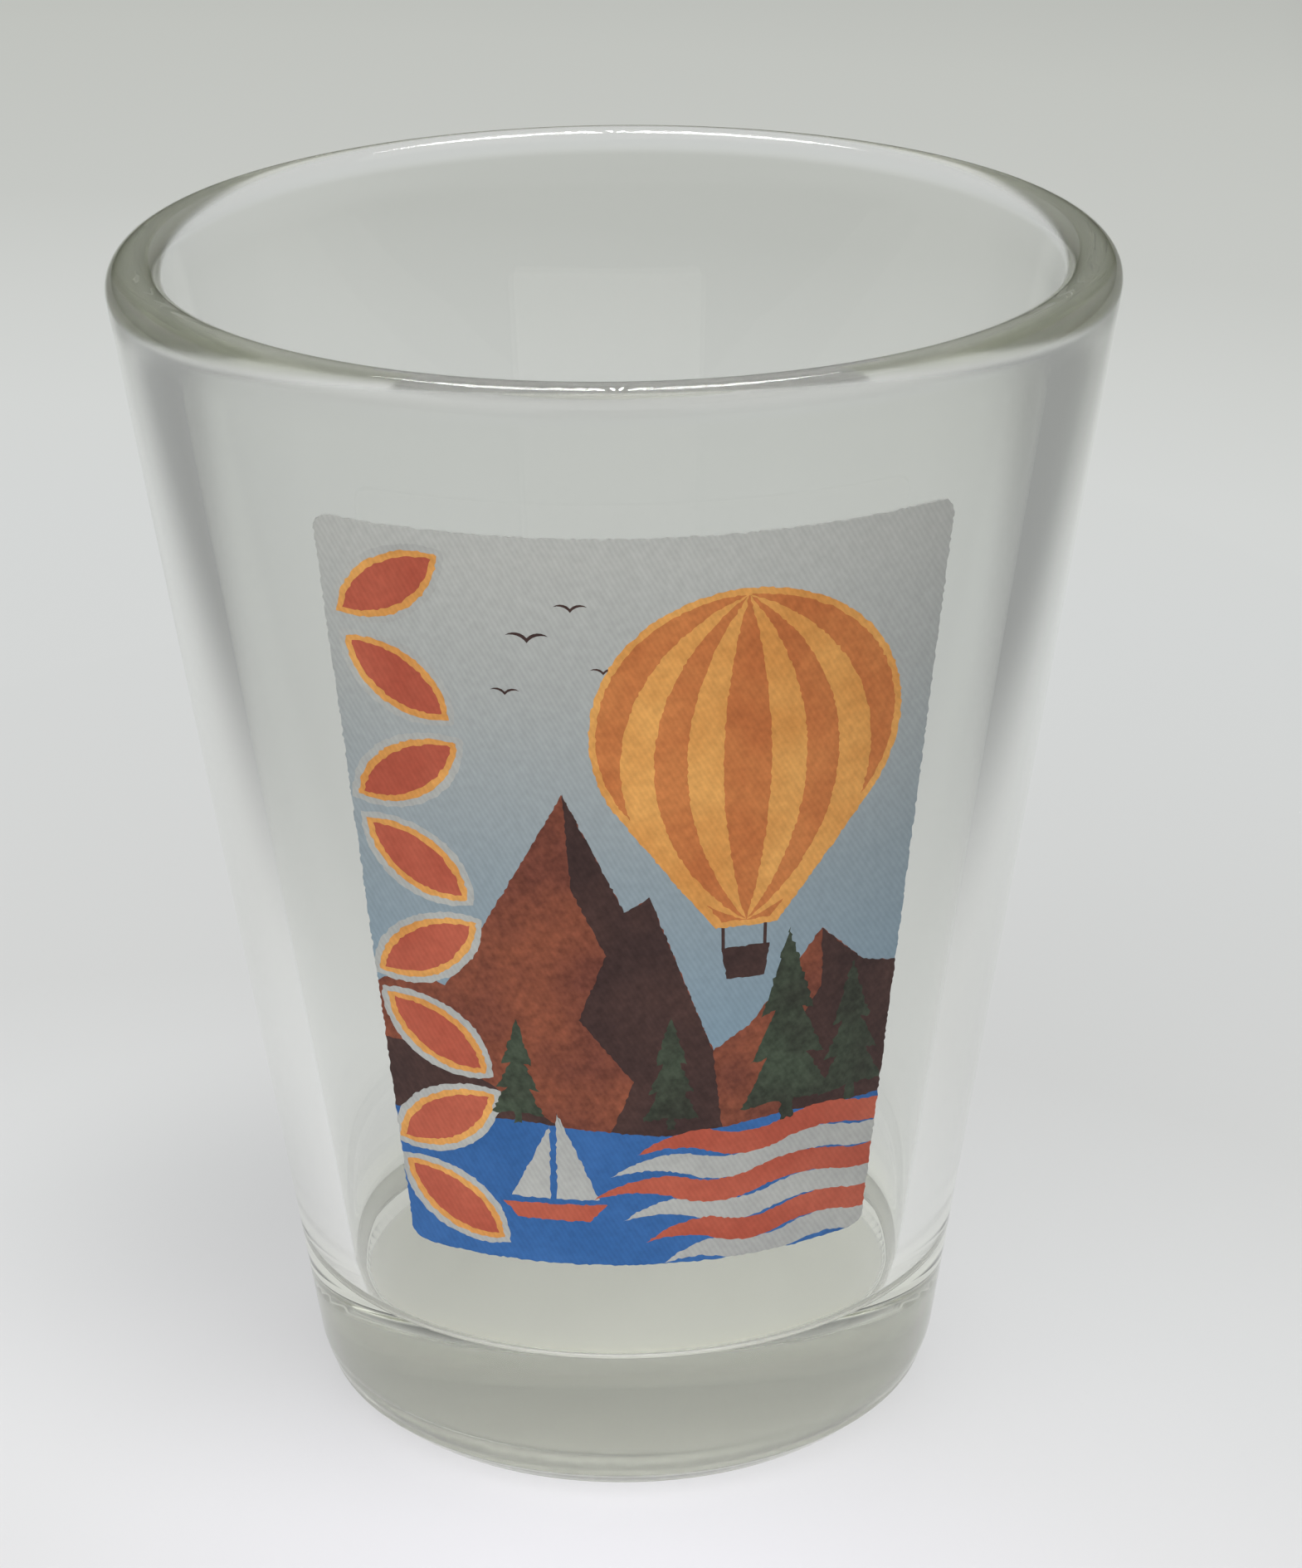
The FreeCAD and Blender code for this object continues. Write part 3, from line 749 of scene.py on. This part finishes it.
def sky_material():
    """Sky ink, grey at the top and light blue towards the lake."""
    material, shader, node, link = new_material("sky_ink")
    place_on = node("ShaderNodeTexCoord")
    split = node("ShaderNodeSeparateXYZ")
    rise = node("ShaderNodeMapRange", From_Min=PRINT_LOW, From_Max=PRINT_HIGH)
    fade = node("ShaderNodeValToRGB")
    graded(fade, [(up, linear(*colour)) for up, colour in SKY_TONES])
    link(place_on.outputs["Object"], split.inputs["Vector"])
    link(split.outputs["Z"], rise.inputs["Value"])
    link(rise.outputs["Result"], fade.inputs["Fac"])
    finish_ink(shader, node, link, place_on, fade.outputs["Color"], SKY_SPECKLE)
    return material


def painted_light_pool(node, link, place_on):
    """Painted pool of light: the paper's colour by the distance from its brightest place, a little in front
    of the glass.
    """
    skew = node("ShaderNodeVectorMath", operation="DOT_PRODUCT")
    skew.inputs[1].default_value = LIGHT_POOL_SKEW
    split = node("ShaderNodeSeparateXYZ")
    skewed = node("ShaderNodeCombineXYZ")
    reach = node("ShaderNodeVectorMath", operation="DISTANCE")
    reach.inputs[1].default_value = LIGHT_POOL_MIDDLE
    spread = node("ShaderNodeMapRange", From_Max=LIGHT_POOL_REACH)
    fade = node("ShaderNodeValToRGB")
    graded(fade, [(reached * MM / LIGHT_POOL_REACH, linear(*colour)) for reached, colour in LIGHT_POOL_TONES])
    link(place_on.outputs["Object"], split.inputs["Vector"])
    link(place_on.outputs["Object"], skew.inputs[0])
    link(split.outputs["X"], skewed.inputs["X"])
    link(skew.outputs["Value"], skewed.inputs["Y"])
    link(skewed.outputs[0], reach.inputs[0])
    link(reach.outputs["Value"], spread.inputs["Value"])
    link(spread.outputs["Result"], fade.inputs["Fac"])
    return fade.outputs["Color"]


def painted_paper_shade(node, link, place_on):
    """Painted shade on the paper: a painted shadow far in front on the camera's side, darker past the glass's
    sides, and the glass's painted shadow under its back left.
    """
    split = node("ShaderNodeSeparateXYZ")
    # Painted shadow on the camera's side
    front = node("ShaderNodeMapRange", interpolation_type="SMOOTHSTEP", From_Min=PAINTED_SHADOW_FRONT[0],
                 From_Max=PAINTED_SHADOW_FRONT[1], To_Min=DULL)
    aside = node("ShaderNodeMath", operation="ABSOLUTE")
    narrow = node("ShaderNodeMath", operation="MULTIPLY_ADD")
    narrow.inputs[1].default_value = -SIDES_SPREAD
    past = node("ShaderNodeMapRange", interpolation_type="SMOOTHSTEP", From_Min=DULL_SIDES[0],
                From_Max=DULL_SIDES[1], To_Min=1.0, To_Max=DULL)
    # Painted shadow of the glass under its back left
    beside = node("ShaderNodeVectorMath", operation="DISTANCE")
    beside.inputs[1].default_value = SHADE_PLACE
    shade = node("ShaderNodeMapRange", interpolation_type="SMOOTHSTEP", From_Min=SHADE_BAND[0],
                 From_Max=SHADE_BAND[1], To_Min=SHADE)
    duller = node("ShaderNodeMath", operation="MINIMUM")
    dullest = node("ShaderNodeMath", operation="MULTIPLY")
    link(place_on.outputs["Object"], split.inputs["Vector"])
    link(split.outputs["Y"], front.inputs["Value"])
    link(split.outputs["X"], aside.inputs[0])
    link(split.outputs["Y"], narrow.inputs[0])
    link(aside.outputs[0], narrow.inputs[2])
    link(narrow.outputs[0], past.inputs["Value"])
    link(place_on.outputs["Object"], beside.inputs[0])
    link(beside.outputs["Value"], shade.inputs["Value"])
    link(front.outputs["Result"], duller.inputs[0])
    link(past.outputs["Result"], duller.inputs[1])
    link(duller.outputs[0], dullest.inputs[0])
    link(shade.outputs["Result"], dullest.inputs[1])
    return dullest.outputs[0]


def floor_material():
    """Matt pale paper with a painted pool of light and painted shade in its colour.  Most of what is seen of
    it, straight or in the glass, is a glow of its own.
    """
    material, shader, node, link = new_material("paper")
    place_on = node("ShaderNodeTexCoord")
    # The paper's colour: a painted pool of light times painted shade
    paper = node("ShaderNodeMix", data_type="RGBA", blend_type="MULTIPLY")
    paper.inputs[SHARE].default_value = 1.0
    link(painted_light_pool(node, link, place_on), paper.inputs[FIRST])
    link(painted_paper_shade(node, link, place_on), paper.inputs[SECOND])
    link(paper.outputs[RESULT], shader.inputs["Base Color"])
    shader.inputs["Roughness"].default_value = 0.9
    shader.inputs["Specular IOR Level"].default_value = 0.1

    ray = node("ShaderNodeLightPath")
    seen = node("ShaderNodeMath", operation="MAXIMUM")
    through = node("ShaderNodeMath", operation="MAXIMUM")
    share = node("ShaderNodeMath", operation="MULTIPLY")
    share.inputs[1].default_value = FLOOR_SHARE
    own = node("ShaderNodeEmission")
    blend = node("ShaderNodeMixShader")
    output = material.node_tree.nodes["Material Output"]
    link(ray.outputs["Is Camera Ray"], seen.inputs[0])
    link(ray.outputs["Is Glossy Ray"], seen.inputs[1])
    link(seen.outputs[0], through.inputs[0])
    link(ray.outputs["Is Transmission Ray"], through.inputs[1])
    link(through.outputs[0], share.inputs[0])
    link(paper.outputs[RESULT], own.inputs["Color"])
    link(share.outputs[0], blend.inputs[0])
    link(shader.outputs[0], blend.inputs[1])
    link(own.outputs[0], blend.inputs[2])
    link(blend.outputs[0], output.inputs["Surface"])
    return material


# ---------------------------------------------------------------- stage, lamps and camera

def make_stage():
    """Wide pale floor under the glass."""
    bpy.ops.object.select_all(action="DESELECT")
    bpy.ops.mesh.primitive_plane_add(size=FLOOR_SIZE)
    floor = bpy.context.active_object
    floor.name = "floor"
    select_only(floor)
    bpy.ops.transform.translate(value=(0, 0, -AIR_FILM))
    bpy.ops.object.transform_apply()
    floor.data.materials.append(floor_material())


def make_world():
    """Soft pale surroundings, brightest overhead and behind the glass, dull at its own level."""
    world = bpy.data.worlds.new("studio")
    bpy.context.scene.world = world
    world.use_nodes = True
    nodes, link = world.node_tree.nodes, world.node_tree.links.new
    background = nodes["Background"]
    direction = nodes.new("ShaderNodeTexCoord")
    split = nodes.new("ShaderNodeSeparateXYZ")
    rise = nodes.new("ShaderNodeValToRGB")
    graded(rise, SKYLIGHT)
    behind = nodes.new("ShaderNodeValToRGB")
    graded(behind, BEHIND)
    half = nodes.new("ShaderNodeMapRange")
    half.inputs["From Min"].default_value = -1.0
    tinted = nodes.new("ShaderNodeMix")
    tinted.data_type = "RGBA"
    tinted.blend_type = "MULTIPLY"
    tinted.inputs[SHARE].default_value = 1.0
    link(direction.outputs["Generated"], split.inputs["Vector"])
    link(split.outputs["Z"], rise.inputs["Fac"])
    link(split.outputs["Y"], half.inputs["Value"])
    link(half.outputs["Result"], behind.inputs["Fac"])
    link(rise.outputs["Color"], tinted.inputs[FIRST])
    link(behind.outputs["Color"], tinted.inputs[SECOND])
    link(tinted.outputs[RESULT], background.inputs["Color"])
    background.inputs["Strength"].default_value = WORLD_STRENGTH


def area_lamp(name, place_at, aim, wide, long, energy):
    """Soft rectangular lamp."""
    data = bpy.data.lights.new(name, "AREA")
    data.shape = "RECTANGLE"
    data.size = wide
    data.size_y = long
    data.energy = energy
    lamp = bpy.data.objects.new(name, data)
    bpy.context.collection.objects.link(lamp)
    lamp.location = place_at
    lamp.rotation_euler = (Vector(aim) - Vector(place_at)).to_track_quat("-Z", "Y").to_euler()
    return lamp


def make_lamps():
    """Overhead softbox, two front lamps that the glass doesn't mirror, and a row of narrow lamps behind."""
    area_lamp("overhead", OVERHEAD, (0, 0, 0), 0.5, 0.5, 0.35)
    front = area_lamp("front", FRONT_LAMP, FRONT_AIM, 0.9, 0.5, 4.3)
    front.visible_glossy = front.visible_transmission = False
    glow = area_lamp("glow", FRONT_LAMP, FRONT_AIM, 1.3, 0.9, 2.8)
    glow.visible_glossy = False
    for index in range(LAMP_PAIRS):
        for side in (-0.5, 0.5):
            across = (index - (LAMP_PAIRS - 1) / 2) * PAIR_STEP + side * LAMP_STEP
            area_lamp(f"lamp_{index + 1}", (across, ROW_BACK, ROW_HEIGHT), ROW_AIM, *LAMP_SIZE, LAMP_POWER)


def make_camera():
    """Camera above and in front of the glass, looking down at it."""
    data = bpy.data.cameras.new("camera")
    data.lens = LENS
    camera = bpy.data.objects.new("camera", data)
    bpy.context.collection.objects.link(camera)
    stand = Matrix.Rotation(CAMERA_ROUND, 4, "Z") @ Matrix.Translation((0, -CAMERA_DISTANCE, CAMERA_HEIGHT))
    turn = Matrix.Rotation(-CAMERA_AIM, 4, "Z") @ Matrix.Rotation(math.pi / 2 + CAMERA_PITCH, 4, "X")
    camera.matrix_world = stand @ turn @ Matrix.Rotation(CAMERA_ROLL, 4, "Z")
    bpy.context.scene.camera = camera


def main():
    """Dress the frame."""
    scene = bpy.context.scene
    scene.view_settings.view_transform = "Standard"
    scene.cycles.max_bounces = BOUNCES
    scene.cycles.transmission_bounces = BOUNCES
    scene.cycles.glossy_bounces = BOUNCES
    make_camera()
    make_stage()
    make_world()
    make_lamps()

    body = make_glass()
    body.data.materials.append(glass_material())
    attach(body, "root")
    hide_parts("glass_body")

    for ink, piece in make_picture().items():
        piece.data.materials.clear()
        if ink == "sky":
            piece.data.materials.append(sky_material())
        else:
            piece.data.materials.append(ink_material(ink + "_ink", *INK_TONES[ink]))
        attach(piece, "root")
        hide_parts("print_" + ink)


main()
